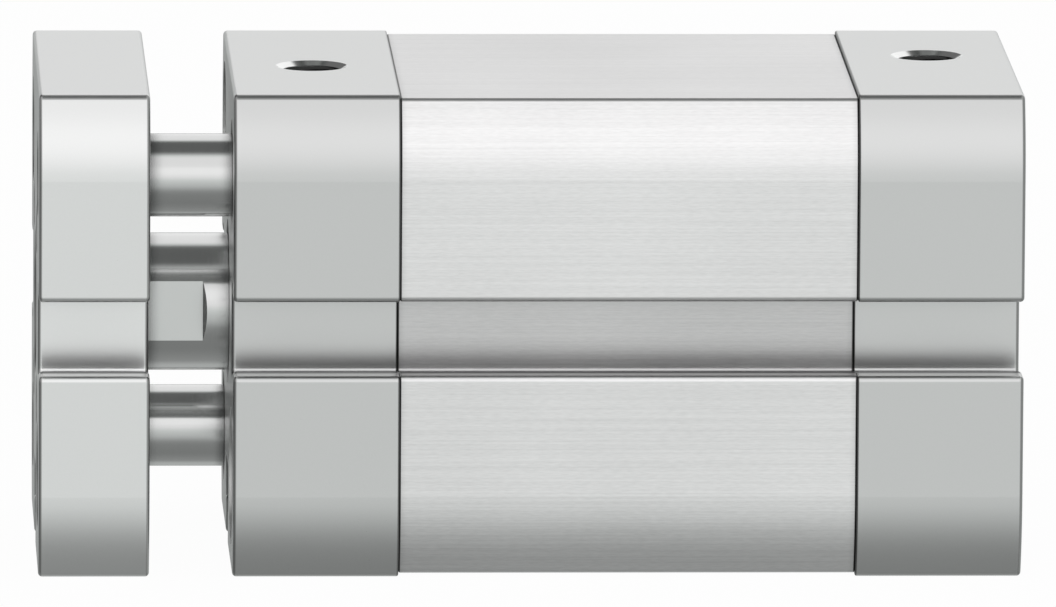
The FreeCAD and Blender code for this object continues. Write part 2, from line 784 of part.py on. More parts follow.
# Piston
SEAL_OUTER = f"({BORE_R} - Sizes.seal_clearance)"
SEAL_INNER = f"({SEAL_OUTER} - Sizes.piston_seal_depth)"
GROOVE_R = f"({SEAL_INNER} - Sizes.static_clearance)"
GROOVE_HALF = "(Sizes.piston_seal_width / 2 + Sizes.seal_clearance)"
CUSHION_INNER = f"({ROD_R} + Sizes.cushion_rod_gap)"
CUSHION_OUTER = f"({GROOVE_R} - Sizes.cushion_wall)"
STUB_HOLE_R = f"({STUB_R} + Sizes.static_clearance)"
HUB_R = f"({STUB_HOLE_R} + Sizes.piston_hub_wall)"
WEAR_INNER = f"({SEAL_OUTER} - Sizes.wear_ring_wall)"
FRONT_HALF_END = f"({PISTON_FRONT} + Sizes.piston_half_length)"
REAR_HALF_START = f"({PISTON_REAR} - Sizes.piston_half_length)"


def piston_half_points(face, inward, hub):
    """Corners of one half from its outer face inwards; hub is the length of its spacer."""
    floor = f"({face} + {inward} * Sizes.cushion_depth)"
    groove = f"({face} + {inward} * (Sizes.piston_half_length / 2 - {GROOVE_HALF}))"
    groove_end = f"({face} + {inward} * (Sizes.piston_half_length / 2 + {GROOVE_HALF}))"
    end = f"({face} + {inward} * Sizes.piston_half_length)"
    points = [
        (face, STUB_HOLE_R),
        (face, f"({CUSHION_INNER} - Sizes.static_clearance)"),
        (floor, f"({CUSHION_INNER} - Sizes.static_clearance)"),
        (floor, CUSHION_OUTER),
        (face, CUSHION_OUTER),
        (face, PISTON_R),
        (groove, PISTON_R),
        (groove, GROOVE_R),
        (groove_end, GROOVE_R),
        (groove_end, PISTON_R),
        (end, PISTON_R),
    ]
    if hub:
        tip = f"({end} + {inward} * {hub})"
        return points + [(end, HUB_R), (tip, HUB_R), (tip, STUB_HOLE_R)]
    return points + [(end, STUB_HOLE_R)]


def make_piston_halves():
    """The two halves; the hub of the rear one spaces them and carries the magnet."""
    front = turned("piston_front_half", piston_half_points(PISTON_FRONT, 1, None))
    rear = turned("piston_rear_half", piston_half_points(PISTON_REAR, -1, "Sizes.magnet_length"))
    return [front, rear]


def make_magnet():
    """Ring magnet that the sensors in the slots read."""
    inner = f"({HUB_R} + Sizes.static_clearance)"
    outer = f"({WEAR_INNER} - Sizes.static_clearance)"
    return ring("piston_magnet", FRONT_HALF_END, REAR_HALF_START, inner, outer)


def make_wear_ring():
    """Guide ring round the magnet, which keeps the piston off the bore."""
    return ring("piston_wear_ring", FRONT_HALF_END, REAR_HALF_START, WEAR_INNER, SEAL_OUTER)


def make_piston_seal(label, face, inward):
    """Lip seal of one half, with its lip towards the pressure."""
    middle = f"({face} + {inward} * Sizes.piston_half_length / 2)"
    lip = f"({middle} - {inward} * Sizes.piston_seal_width / 2)"
    heel = f"({middle} + {inward} * Sizes.piston_seal_width / 2)"
    return turned(
        label,
        [
            (lip, SEAL_INNER),
            (heel, SEAL_INNER),
            (heel, f"({SEAL_OUTER} - Sizes.piston_seal_chamfer)"),
            (f"({heel} - {inward} * Sizes.piston_seal_chamfer)", SEAL_OUTER),
            (lip, SEAL_OUTER),
        ],
    )


def make_cushion(label, face, inward):
    """Elastic ring that stands a little proud of the piston's face."""
    outer = f"({CUSHION_OUTER} - Sizes.static_clearance)"
    proud = f"({face} - {inward} * Sizes.cushion_proud)"
    return ring(label, proud, f"({face} + {inward} * Sizes.cushion_depth)", CUSHION_INNER, outer)


# Screws
def make_cover_screw(label, face, inward):
    """Flanged cover screw with a mounting thread in its head and a hexagon socket at the thread's end."""
    top = f"({face} + {inward} * Sizes.screw_head_sink)"
    seat = f"({face} + {inward} * {SCREW_SEAT})"
    tip = f"({seat} + {inward} * {SCREW_LENGTH})"
    shank = f"({SCREW_R} - Sizes.static_clearance)"
    core = "(Sizes.mount_thread_core / 2)"
    bottom = f"({top} + {inward} * Sizes.mount_thread_depth)"
    blank = turned(
        f"{label}_blank",
        [
            (bottom, "0"),
            (bottom, core),
            (f"({top} + {inward} * Sizes.mount_thread_chamfer)", core),
            (top, f"({core} + Sizes.mount_thread_chamfer)"),
            (top, SCREW_HEAD_R),
            (seat, SCREW_HEAD_R),
            (seat, shank),
            (tip, shank),
            (tip, "0"),
        ],
    )
    start = bottom if inward > 0 else f"({bottom} - Sizes.screw_hex_depth)"
    socket = hexagon(f"{label}_socket", start, "Sizes.screw_hex_depth", "Sizes.screw_hex")
    return cut(label, blank, [socket])


def make_cap_screw(label, screw, seat, inward, tip):
    """Cap screw with a hexagon socket; inward is the way it is driven along X."""
    head_height = f"Sizes.{screw}_head_height"
    shank = f"(Sizes.{screw}_diameter / 2 - Sizes.static_clearance)"
    head = f"(Sizes.{screw}_diameter / 2 + Sizes.{screw}_head_rim)"
    top = f"({seat} - {inward} * {head_height})"
    blank = turned(
        f"{label}_blank",
        [(top, "0"), (top, head), (seat, head), (seat, shank), (tip, shank), (tip, "0")],
    )
    depth = f"({head_height} - Sizes.socket_floor)"
    start = top if inward > 0 else f"({top} - {depth})"
    socket = hexagon(f"{label}_socket", start, depth, f"Sizes.{screw}_hex")
    return cut(label, blank, [socket])


def make_corner_screws(label, face, inward, corners):
    """The cover screws of one cover."""
    screws = []
    for name, (across, up) in corners.items():
        screw = make_cover_screw(f"{label}_{name}", face, inward)
        screws.append(corner_place(screw, across, up))
    return group(label, screws)


def make_guide_screws():
    """The screws that hold the guide rods to the yoke plate."""
    seat = f"({YOKE_FRONT} + Sizes.guide_screw_head_height + Sizes.head_clearance)"
    tip = f"({ROD_FRONT} + Sizes.guide_screw_engagement)"
    screws = []
    for name, (across, up) in GUIDE_CORNERS.items():
        screw = make_cap_screw(f"guide_screw_{name}", "guide_screw", seat, 1, tip)
        screws.append(corner_place(screw, across, up))
    return group("guide_rod_screws", screws)


def make_yoke_screw():
    """The screw that holds the piston rod to the yoke plate."""
    seat = f"({YOKE_FRONT} + Sizes.yoke_screw_head_height + Sizes.head_clearance)"
    tip = f"({ROD_FRONT} + Sizes.yoke_screw_engagement)"
    return make_cap_screw("yoke_screw", "yoke_screw", seat, 1, tip)


def make_piston_screw():
    """The screw that clamps the piston on the stub of its rod."""
    tip = f"({PISTON_REAR} - Sizes.piston_screw_engagement)"
    return make_cap_screw("piston_screw", "piston_screw", PISTON_REAR, -1, tip)


# Assembly
nodes = [
    make_barrel(),
    make_front_cover(),
    make_rear_cover(),
    make_corner_screws("front_cover_screws", "0", 1, FREE_CORNERS),
    make_corner_screws("rear_cover_screws", BODY_END, -1, ALL_CORNERS),
    make_cover_seal("front_cover_seal", "Sizes.cover_length", 1),
    make_cover_seal("rear_cover_seal", BARREL_END, -1),
    make_rod_bush(),
    make_rod_seal(),
    make_yoke_plate(),
    make_yoke_screw(),
    make_guide_screws(),
    make_piston_rod(),
    make_magnet(),
    make_wear_ring(),
    make_piston_screw(),
    make_piston_seal("front_piston_seal", PISTON_FRONT, 1),
    make_piston_seal("rear_piston_seal", PISTON_REAR, -1),
    make_cushion("front_cushion", PISTON_FRONT, 1),
    make_cushion("rear_cushion", PISTON_REAR, -1),
]
nodes += make_piston_halves()
for corner_name, (corner_across, corner_up) in GUIDE_CORNERS.items():
    nodes.append(make_guide_rod(corner_name, corner_across, corner_up))
    nodes.append(make_guide_bush(corner_name, corner_across, corner_up))
doc.recompute()

# Every object must have built before anything is written
for item in doc.Objects:
    if "Invalid" in item.State or "Error" in item.State:
        raise RuntimeError(f"{item.Label} did not build: {item.State}")
for node in nodes:
    if node.Shape.isNull() or not node.Shape.isValid():
        raise RuntimeError(f"{node.Label} has no valid shape")

os.makedirs("parts", exist_ok=True)
for node in nodes:
    node.Shape.exportStep(f"parts/{node.Label}.step")
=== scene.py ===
"""Looks of the guided compact cylinder: finishes, studio light and camera. Lengths are in metres."""
import json
import math

import bpy
from mathutils import Matrix, Vector


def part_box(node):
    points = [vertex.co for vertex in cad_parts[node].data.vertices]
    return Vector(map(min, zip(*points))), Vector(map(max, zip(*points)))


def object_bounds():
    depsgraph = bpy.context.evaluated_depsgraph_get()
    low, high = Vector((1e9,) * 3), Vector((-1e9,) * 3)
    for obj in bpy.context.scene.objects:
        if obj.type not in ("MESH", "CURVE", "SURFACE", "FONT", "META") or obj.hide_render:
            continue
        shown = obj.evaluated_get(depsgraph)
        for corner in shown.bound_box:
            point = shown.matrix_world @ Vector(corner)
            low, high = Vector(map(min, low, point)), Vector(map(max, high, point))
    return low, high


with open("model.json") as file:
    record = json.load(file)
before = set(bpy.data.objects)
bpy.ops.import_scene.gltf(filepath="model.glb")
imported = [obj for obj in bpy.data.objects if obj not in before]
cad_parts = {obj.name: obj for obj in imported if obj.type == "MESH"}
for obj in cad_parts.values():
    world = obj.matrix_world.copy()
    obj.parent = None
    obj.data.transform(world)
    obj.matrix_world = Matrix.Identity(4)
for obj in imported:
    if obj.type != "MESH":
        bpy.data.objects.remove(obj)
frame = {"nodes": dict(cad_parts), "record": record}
cad_low, cad_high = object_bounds()
nodes = frame["nodes"]
scene = bpy.context.scene
MM = 0.001
MICRON = 0.000001
WHITE = (1, 1, 1, 1)


def grey(shade):
    """A colour with this shade in every channel."""
    return (shade, shade, shade, 1)


# Node trees
# The part of a noise's range that most of its values lie in
NOISE_MIDDLE = (0.25, 0.75)
OPENNESS_SAMPLES = 8


class Tree:
    """A node tree with short calls for the nodes used here."""

    def __init__(self, tree):
        self.tree = tree

    def link(self, source, target):
        """Join two sockets, or set the target where the source is a plain value."""
        if isinstance(source, bpy.types.NodeSocket):
            self.tree.links.new(source, target)
        else:
            target.default_value = source

    def add(self, kind, values=None, **settings):
        """A new node with its settings, and with values or other nodes' outputs at its inputs."""
        node = self.tree.nodes.new(kind)
        for key, value in settings.items():
            setattr(node, key, value)
        for key, value in (values or {}).items():
            self.link(value, node.inputs[key])
        return node

    def math(self, operation, first, second=0.0):
        """A math node on one or two values."""
        return self.add("ShaderNodeMath", {0: first, 1: second}, operation=operation).outputs[0]

    def times(self, *values):
        """The product of two or more values."""
        product = values[0]
        for value in values[1:]:
            product = self.math("MULTIPLY", product, value)
        return product

    def rest(self, share):
        """What a share leaves of 1."""
        return self.math("SUBTRACT", 1, share)

    def blend(self, first, second, part):
        """Two values added up, with the second one as this part of the whole."""
        return self.math("ADD", self.times(first, 1 - part), self.times(second, part))

    def parts(self, vector):
        """The x, y and z of a vector."""
        return self.add("ShaderNodeSeparateXYZ", {0: vector}).outputs

    def ramp(self, value, low, high, first, last, kind="LINEAR"):
        """A number that goes from the first to the last one while the value goes from low to high."""
        limits = {"From Min": low, "From Max": high, "To Min": first, "To Max": last, "Value": value}
        return self.add("ShaderNodeMapRange", limits, interpolation_type=kind).outputs["Result"]

    def fade(self, value, low, high, first, last):
        """The same as a ramp, but with a smooth start and end."""
        return self.ramp(value, low, high, first, last, "SMOOTHSTEP")

    def mix(self, share, first, second, kind="MIX"):
        """Two colours, mixed by a share of the second one from 0 to 1."""
        values = {"Factor": share, "A": first, "B": second}
        return self.add("ShaderNodeMix", values, data_type="RGBA", blend_type=kind).outputs["Result"]

    def darken(self, colour, level):
        """The colour times a level."""
        return self.mix(1.0, colour, level, "MULTIPLY")


class Shader(Tree):
    """The node tree of a new material."""

    def __init__(self, name):
        self.material = bpy.data.materials.new(name)
        self.material.use_nodes = True
        super().__init__(self.material.node_tree)
        self.surface = self.tree.nodes["Principled BSDF"]
        self.place = self.add("ShaderNodeTexCoord").outputs["Object"]

    def give(self, values):
        """Set inputs of the surface."""
        for key, value in values.items():
            self.link(value, self.surface.inputs[key])

    def noise(self, per_mm, detail):
        """Noise between 0 and 1 with so many features a millimetre along x, y and z."""
        scale = [count / MM for count in per_mm]
        stretch = self.add("ShaderNodeMapping", {"Vector": self.place, "Scale": scale})
        values = {"Vector": stretch.outputs["Vector"], "Scale": 1.0, "Detail": detail}
        return self.add("ShaderNodeTexNoise", values).outputs["Fac"]

    def span(self, noise, low, high):
        """Noise spread over a range; its middle half fills the range."""
        return self.ramp(noise, *NOISE_MIDDLE, low, high)

    def turned_to(self, axis):
        """How far the surface is turned towards either end of an axis, from 0 to 1."""
        normal = self.add("ShaderNodeTexCoord").outputs["Normal"]
        return self.math("ABSOLUTE", self.parts(normal)[axis])

    def openness(self, distance):
        """How open the surface is to its surroundings within the distance, from 0 to 1."""
        values = {"Distance": distance}
        return self.add("ShaderNodeAmbientOcclusion", values, samples=OPENNESS_SAMPLES).outputs["AO"]

    def relief(self, height, depth):
        """Bump of the given depth in metres."""
        bump = self.add("ShaderNodeBump", {"Strength": 1.0, "Distance": depth, "Height": height})
        self.give({"Normal": bump.outputs["Normal"]})

    def thread(self, along, across, up, radius, pitch):
        """Ridges of an internal thread, and where its hole is; across and up are zero on its axis."""
        squares = [self.math("POWER", value, 2) for value in (across, up)]
        in_hole = self.math("LESS_THAN", self.math("SQRT", self.math("ADD", *squares)), radius)
        turn = self.math("DIVIDE", self.math("ARCTAN2", up, across), 2 * math.pi)
        turns = self.math("ADD", self.math("DIVIDE", along, pitch), turn)
        # The wave rises to a half and falls to zero within one turn
        wave = self.math("PINGPONG", turns, 0.5)
        return self.times(wave, 2, in_hole), in_hole


# Finishes
# Features a millimetre of the large clouds in a finish, and their part of it
CLOUDS = (0.05, 0.05, 0.05)
CLOUD_DETAIL = 2
CLOUD_PART = 0.3
# The short strokes' part of a grain that has them
STROKE_PART = 0.5
# Depth of the threads' ridges; a tone is a level of brightness next to the finish around it
# Painted shade inside threaded holes, and darker painted shade inside the air ports
THREAD_DEPTH = 0.25 * MM
HOLE_PAINTED_SHADE = 0.15
PORT_PAINTED_SHADE = 0.04
# Colour of a cut bevel, and its roughness as a share of the finish around it
BARE_GREY = (0.92, 0.925, 0.92, 1)
BARE_ROUGHNESS = 0.4


def satin(
    name,
    colour,
    spread,
    roughness,
    lines,
    detail,
    depth,
    strokes=None,
    shade=None,
    thread=None,
    hole_shade_level=HOLE_PAINTED_SHADE,
    bare=None,
):
    """Metal with a grain of so many lines, and of shorter strokes, a millimetre along each axis.

    spread is how far the grain makes the colour lighter and darker, and depth is that of its relief.
    shade paints shade and light into some places; thread ridges the wall of a hole and paints shade
    inside it;
    bare marks what a tool left bright.
    """
    shader = Shader(name)
    grain = shader.noise(lines, detail)
    if strokes:
        grain = shader.blend(grain, shader.noise(strokes, detail), STROKE_PART)
    cloudy = shader.blend(grain, shader.noise(CLOUDS, CLOUD_DETAIL), CLOUD_PART)
    dark = [channel * (1 - spread) for channel in colour]
    light = [channel * (1 + spread) for channel in colour]
    tone = shader.mix(shader.span(cloudy, 0, 1), (*dark, 1), (*light, 1))
    if shade:
        # Painted shade and light from the finish's shade function
        tone = shader.darken(tone, shade(shader))
    dull = shader.span(cloudy, *roughness)
    if bare:
        cut = bare(shader)
        tone = shader.mix(cut, tone, BARE_GREY)
        dull = shader.times(dull, shader.fade(cut, 0, 1, 1, BARE_ROUGHNESS))
    height = grain
    if thread:
        ridges, in_hole = thread(shader)
        height = shader.math("ADD", height, shader.times(ridges, THREAD_DEPTH / depth))
        # Painted shade: the inside of a threaded hole is darkened to the hole's shade level
        tone = shader.darken(tone, shader.fade(in_hole, 0, 1, 1, hole_shade_level))
    shader.give({"Base Color": tone, "Roughness": dull, "Metallic": 1.0})
    shader.relief(height, depth)
    return shader.material


# Holes: cores are a little wider than the drilled holes, so that their walls lie inside
PORT_CORE = 2.15 * MM
PORT_PITCH = 0.8 * MM
PORT_MOUTH = 0.35 * MM
PORT_BEVEL = 2.62 * MM
LOAD_CORE = 1.7 * MM
LOAD_PITCH = 0.7 * MM


def port_thread(x, y):
    """Thread of an air port that stands upright at x, y, and where it is."""

    def build(shader):
        place_x, place_y, place_z = shader.parts(shader.place)
        below_mouth = shader.math("LESS_THAN", place_z, cad_high.z - PORT_MOUTH)
        across = shader.math("SUBTRACT", place_x, x)
        up = shader.math("SUBTRACT", place_y, y)
        found = shader.thread(place_z, across, up, PORT_CORE, PORT_PITCH)
        return [shader.times(value, below_mouth) for value in found]

    return build


def port_mouth(x, y):
    """Where the bevel of an air port that stands upright at x, y is."""

    def build(shader):
        place_x, place_y, place_z = shader.parts(shader.place)
        across = shader.math("POWER", shader.math("SUBTRACT", place_x, x), 2)
        along = shader.math("POWER", shader.math("SUBTRACT", place_y, y), 2)
        inside = shader.math("LESS_THAN", shader.math("ADD", across, along), PORT_BEVEL**2)
        return shader.times(inside, shader.math("GREATER_THAN", place_z, 0))

    return build


def corner_thread(distance, core, pitch):
    """Thread of four holes along X, as far to each side as distance, and where it is."""

    def build(shader):
        place_x, *sides = shader.parts(shader.place)
        offsets = [shader.math("SUBTRACT", shader.math("ABSOLUTE", side), distance) for side in sides]
        return shader.thread(place_x, *offsets, core, pitch)

    return build


# Painted shade in nooks: the range of openness in which a nook gets lighter, its darkest level, and how
# far the rods' nooks reach
NOOK = (0.35, 0.95)
NOOK_PAINTED_SHADE = 0.2
ROD_NOOK_REACH = 1.5 * MM


def nook_shade(reach):
    """Painted shade: darker metal in nooks that have other metal within reach."""

    def build(shader):
        return shader.fade(shader.openness(reach), *NOOK, NOOK_PAINTED_SHADE, 1)

    return build


# Sensor slots, with painted shade in their corners and at their lips: half width, edge of the mouth,
# corners and fillets as distances from the middle
SLOT_HALF = 3.6 * MM
SLOT_EDGE = 0.3 * MM
SLOT_CORNER = (1.1 * MM, 2.9 * MM)
SLOT_CORNER_PAINTED_SHADE = 0.88
SLOT_FILLET = (2.76 * MM, 2.90 * MM)
# Faces turned further towards X than this are ends and not slot walls
SLOT_END_TURN = 0.5
# The lips' inner edges from the axis, and the distances from there at which the shade ends
LIP_INSIDE = 14.95 * MM
LIP_ROUND = (0.75 * MM, 1.4 * MM)
LIP_PAINTED_SHADE = 0.05
# Painted level of light in each node's slots, lighter above 1 and darker below it
COVER_SLOT_PAINTED_LEVEL = 1.03
YOKE_SLOT_PAINTED_LEVEL = 1.06
BARREL_SLOT_PAINTED_LEVEL = 0.80
# Seams between barrel and covers: a dark joint line, and a wider painted shade on the barrel's ends
SEAM_WIDTH = 0.18 * MM
SEAM_TONE = 0.28
SEAM_SOFT_WIDTH = 0.6 * MM
BARREL_END_PAINTED_SHADE = 0.87
# End edges, painted darker in place of the dark reflection on their rounding: turns towards X where the
# edge starts and where the end face does
END_EDGE = (0.12, 0.4)
END_FACE = (0.85, 0.97)
END_EDGE_PAINTED_SHADE = 0.4
# Turn towards Y; the end edges of the top and bottom have little of it and stay bright
END_EDGE_SIDE = (0.15, 0.4)
# Upper long edges, painted darker in place of the dark reflection on their rounding: distance from the
# middle, and turns towards Z where they start and stop
CORNER_REACH = 12 * MM
CORNER_START = (0.45, 0.60)
CORNER_STOP = (0.94, 0.985)
CORNER_PAINTED_SHADE = 0.55


def slot_painted_shade(shader, across, out, turned, mouth, slot_painted_level):
    """Painted shade and light in the sensor slots: darker at the lips and in the corners, but not in
    their fillets.
    """
    in_slot = shader.times(
        shader.math("LESS_THAN", across, SLOT_HALF),
        shader.math("LESS_THAN", out, mouth),
        shader.math("LESS_THAN", turned, SLOT_END_TURN),
    )
    corner_painted_loss = shader.times(
        shader.fade(across, *SLOT_CORNER, 0, 1 - SLOT_CORNER_PAINTED_SHADE),
        shader.fade(across, *SLOT_FILLET, 1, 0),
    )
    from_lip = shader.math("ABSOLUTE", shader.math("SUBTRACT", out, LIP_INSIDE))
    lip_painted_shade = shader.fade(from_lip, *LIP_ROUND, LIP_PAINTED_SHADE, 1)
    tone = shader.times(shader.rest(corner_painted_loss), slot_painted_level, lip_painted_shade)
    return shader.rest(shader.times(in_slot, shader.rest(tone)))


def end_edge_painted_shade(shader, turned):
    """Painted shade on the edges around the ends, in place of their dark reflection."""
    loss = shader.times(
        shader.fade(turned, *END_EDGE, 0, 1 - END_EDGE_PAINTED_SHADE),
        shader.fade(turned, *END_FACE, 1, 0),
        shader.fade(shader.turned_to("Y"), *END_EDGE_SIDE, 0, 1),
    )
    return shader.rest(loss)


def long_edge_painted_shade(shader, across, place_z, turned):
    """Painted shade on the upper long edges, which lie far from the middle of the top and of the sides.
    """
    steep = shader.turned_to("Z")
    loss = shader.times(
        shader.fade(steep, *CORNER_START, 0, 1 - CORNER_PAINTED_SHADE),
        shader.fade(steep, *CORNER_STOP, 1, 0),
        shader.fade(turned, *END_EDGE, 1, 0),
        shader.math("GREATER_THAN", across, CORNER_REACH),
        shader.math("GREATER_THAN", place_z, 0),
    )
    return shader.rest(loss)


def seam_line_and_painted_shade(shader, place_x, seam, soft_painted_shade):
    """Brightness near a seam: a dark joint line, and a wider painted shade down to the soft level."""
    away = shader.math("ABSOLUTE", shader.math("SUBTRACT", place_x, seam))
    line = shader.fade(away, 0, SEAM_WIDTH, SEAM_TONE, 1)
    return shader.times(line, shader.fade(away, 0, SEAM_SOFT_WIDTH, soft_painted_shade, 1))


def profile_shade(node_name, slot_painted_level, seams, soft_painted_shade=1.0):
    """Brightness of a node with the slotted profile, painted as shade and light, and of its seams to
    its neighbours.
    """
    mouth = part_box(node_name)[1].z - SLOT_EDGE

    def build(shader):
        place_x, place_y, place_z = shader.parts(shader.place)
        sides = [shader.math("ABSOLUTE", value) for value in (place_y, place_z)]
        across = shader.math("MINIMUM", *sides)
        out = shader.math("MAXIMUM", *sides)
        turned = shader.turned_to("X")
        return shader.times(
            slot_painted_shade(shader, across, out, turned, mouth, slot_painted_level),
            end_edge_painted_shade(shader, turned),
            long_edge_painted_shade(shader, across, place_z, turned),
            *[seam_line_and_painted_shade(shader, place_x, seam, soft_painted_shade) for seam in seams],
        )

    return build


COVER_GREY = (0.71, 0.713, 0.71)
YOKE_GREY = (0.87, 0.873, 0.87)
BARREL_GREY = (0.907, 0.90, 0.902)
PISTON_GREY = (0.75, 0.75, 0.74)
ROD_GREY = (0.73, 0.733, 0.73)
SCREW_GREY = (0.52, 0.52, 0.51)
EDGE_TINT = (0.85, 0.85, 0.85, 1)
ANODISED = dict(
    spread=0.012,
    roughness=(0.27, 0.33),
    lines=(7, 7, 7),
    detail=3,
    depth=1.2 * MICRON,
)
DRAWN = dict(
    spread=0.16,
    roughness=(0.30, 0.40),
    lines=(0.03, 7, 7),
    strokes=(1.5, 12, 12),
    detail=4,
    depth=2.5 * MICRON,
)
TURNED = dict(
    spread=0.04,
    roughness=(0.28, 0.40),
    lines=(10, 3, 3),
    detail=3,
    depth=1.5 * MICRON,
)
GROUND = dict(
    spread=0.01,
    roughness=(0.12, 0.17),
    lines=(14, 0.4, 0.4),
    detail=3,
    depth=0.4 * MICRON,
)

mounts = {mount["name"]: mount for mount in frame["record"]["mounts"]}
load_pitch = mounts["yoke_threads"]["dims"]["spacing_x_mm"] * MM
corner_pitch = mounts["rear_threads"]["dims"]["spacing_x_mm"] * MM
front_seam, rear_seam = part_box("barrel")[0].x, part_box("barrel")[1].x


def cover_metal(node_name, seam, port_name):
    """Finish of a cover with a seam to the barrel and an air port."""
    x, y = mounts[port_name]["pos_m"][:2]
    return satin(
        node_name + "_metal",
        COVER_GREY,
        **ANODISED,
        shade=profile_shade(node_name, COVER_SLOT_PAINTED_LEVEL, [seam]),
        thread=port_thread(x, y),
        hole_shade_level=PORT_PAINTED_SHADE,
        bare=port_mouth(x, y),
    )


front_cover_metal = cover_metal("front_cover", front_seam, "front_port")
rear_cover_metal = cover_metal("rear_cover", rear_seam, "rear_port")
yoke_metal = satin(
    "yoke_metal",
    YOKE_GREY,
    **ANODISED,
    shade=profile_shade("yoke_plate", YOKE_SLOT_PAINTED_LEVEL, []),
    thread=corner_thread(load_pitch / 2, LOAD_CORE, LOAD_PITCH),
)
barrel_metal = satin(
    "barrel_metal",
    BARREL_GREY,
    **DRAWN,
    shade=profile_shade("barrel", BARREL_SLOT_PAINTED_LEVEL, [front_seam, rear_seam], BARREL_END_PAINTED_SHADE),
)
for pale_metal in (yoke_metal, barrel_metal):
    pale_metal.node_tree.nodes["Principled BSDF"].inputs["Specular Tint"].default_value = EDGE_TINT
piston_metal = satin("piston_metal", PISTON_GREY, **TURNED)
mount_thread = corner_thread(corner_pitch / 2, PORT_CORE, PORT_PITCH)
screw_metal = satin("screw_metal", SCREW_GREY, **TURNED, thread=mount_thread)
rod_metal = satin("rod_metal", ROD_GREY, **GROUND, shade=nook_shade(ROD_NOOK_REACH))

SPECKLE_DETAIL = 4


def moulded(name, dark, light, roughness, per_mm, depth):
    """Seal, rubber, ferrite or liner: two shades in fine speckle, with a little relief."""
    shader = Shader(name)
    speckle = shader.noise((per_mm, per_mm, per_mm), SPECKLE_DETAIL)
    colour = shader.mix(shader.span(speckle, 0, 1), (*dark, 1), (*light, 1))
    shader.give({"Base Color": colour, "Roughness": shader.span(speckle, *roughness)})
    shader.relief(speckle, depth)
    return shader.material


bush_liner = moulded(
    "bush_liner",
    dark=(0.055, 0.05, 0.045),
    light=(0.12, 0.10, 0.08),
    roughness=(0.38, 0.55),
    per_mm=6,
    depth=4 * MICRON,
)
seal_black = moulded(
    "seal_black",
    dark=(0.016, 0.017, 0.018),
    light=(0.032, 0.033, 0.035),
    roughness=(0.35, 0.5),
    per_mm=4,
    depth=4 * MICRON,
)
ferrite = moulded(
    "magnet_ferrite",
    dark=(0.03, 0.03, 0.032),
    light=(0.06, 0.06, 0.062),
    roughness=(0.45, 0.6),
    per_mm=8,
    depth=5 * MICRON,
)
wear_tan = moulded(
    "wear_ring_tan",
    dark=(0.30, 0.22, 0.13),
    light=(0.42, 0.32, 0.20),
    roughness=(0.4, 0.55),
    per_mm=5,
    depth=4 * MICRON,
)
cushion = moulded(
    "cushion_rubber",
    dark=(0.02, 0.02, 0.02),
    light=(0.04, 0.04, 0.04),
    roughness=(0.5, 0.65),
    per_mm=3,
    depth=6 * MICRON,
)

FINISHES = {
    "barrel": barrel_metal,
    "front_cover": front_cover_metal,
    "rear_cover": rear_cover_metal,
    "yoke_plate": yoke_metal,
    "piston_rod": rod_metal,
    "upper_guide_rod": rod_metal,
    "lower_guide_rod": rod_metal,
    "front_cover_screws": screw_metal,
    "rear_cover_screws": screw_metal,
    "yoke_screw": screw_metal,
    "guide_rod_screws": screw_metal,
    "piston_screw": screw_metal,
    "piston_front_half": piston_metal,
    "piston_rear_half": piston_metal,
    "rod_bush": bush_liner,
    "upper_guide_bush": bush_liner,
    "lower_guide_bush": bush_liner,
    "rod_seal": seal_black,
    "front_cover_seal": seal_black,
    "rear_cover_seal": seal_black,
    "front_piston_seal": seal_black,
    "rear_piston_seal": seal_black,
    "piston_magnet": ferrite,
    "piston_wear_ring": wear_tan,
    "front_cushion": cushion,
    "rear_cushion": cushion,
}
for node_name, finish in FINISHES.items():
    for slot in nodes[node_name].material_slots:
        slot.material = finish


# Floor
FLOOR_HALF = 8.0
FLOOR_SHADE = 0.86
FLOOR_LIGHT_SHADE = 0.8772
FLOOR_GRAIN = (0.3, 0.3, 0.3)
FLOOR_DETAIL = 3
FLOOR_ROUGHNESS = 0.9
FLOOR_SPECULAR = 0.1
# Share of plain white in what the camera sees of the floor
WHITE_SHARE = 0.97


def make_floor():
    """A plain pale floor under the part, shown nearly white and with the part's shadow on it."""
    corners = [(-1, -1), (1, -1), (1, 1), (-1, 1)]
    mesh = bpy.data.meshes.new("floor")
    points = [(x * FLOOR_HALF, y * FLOOR_HALF, cad_low.z) for x, y in corners]
    mesh.from_pydata(points, [], [(0, 1, 2, 3)])
    floor = bpy.data.objects.new("floor", mesh)
    scene.collection.objects.link(floor)
    # The metal shows the room's own shade of floor instead of this sheet, which only takes the shadow
    floor.visible_glossy = False
    floor.visible_shadow = False
    shader = Shader("floor_paper")
    paper = shader.noise(FLOOR_GRAIN, FLOOR_DETAIL)
    colour = shader.mix(paper, grey(FLOOR_SHADE), grey(FLOOR_LIGHT_SHADE))
    shader.give({"Base Color": colour, "Roughness": FLOOR_ROUGHNESS})
    shader.give({"Specular IOR Level": FLOOR_SPECULAR})
    seen = shader.add("ShaderNodeLightPath").outputs["Is Camera Ray"]
    glow = shader.add("ShaderNodeEmission").outputs["Emission"]
    layers = {"Fac": shader.times(seen, WHITE_SHARE), 1: shader.surface.outputs["BSDF"], 2: glow}
    both = shader.add("ShaderNodeMixShader", layers)
    shader.link(both.outputs["Shader"], shader.tree.nodes["Material Output"].inputs["Surface"])
    mesh.materials.append(shader.material)


make_floor()

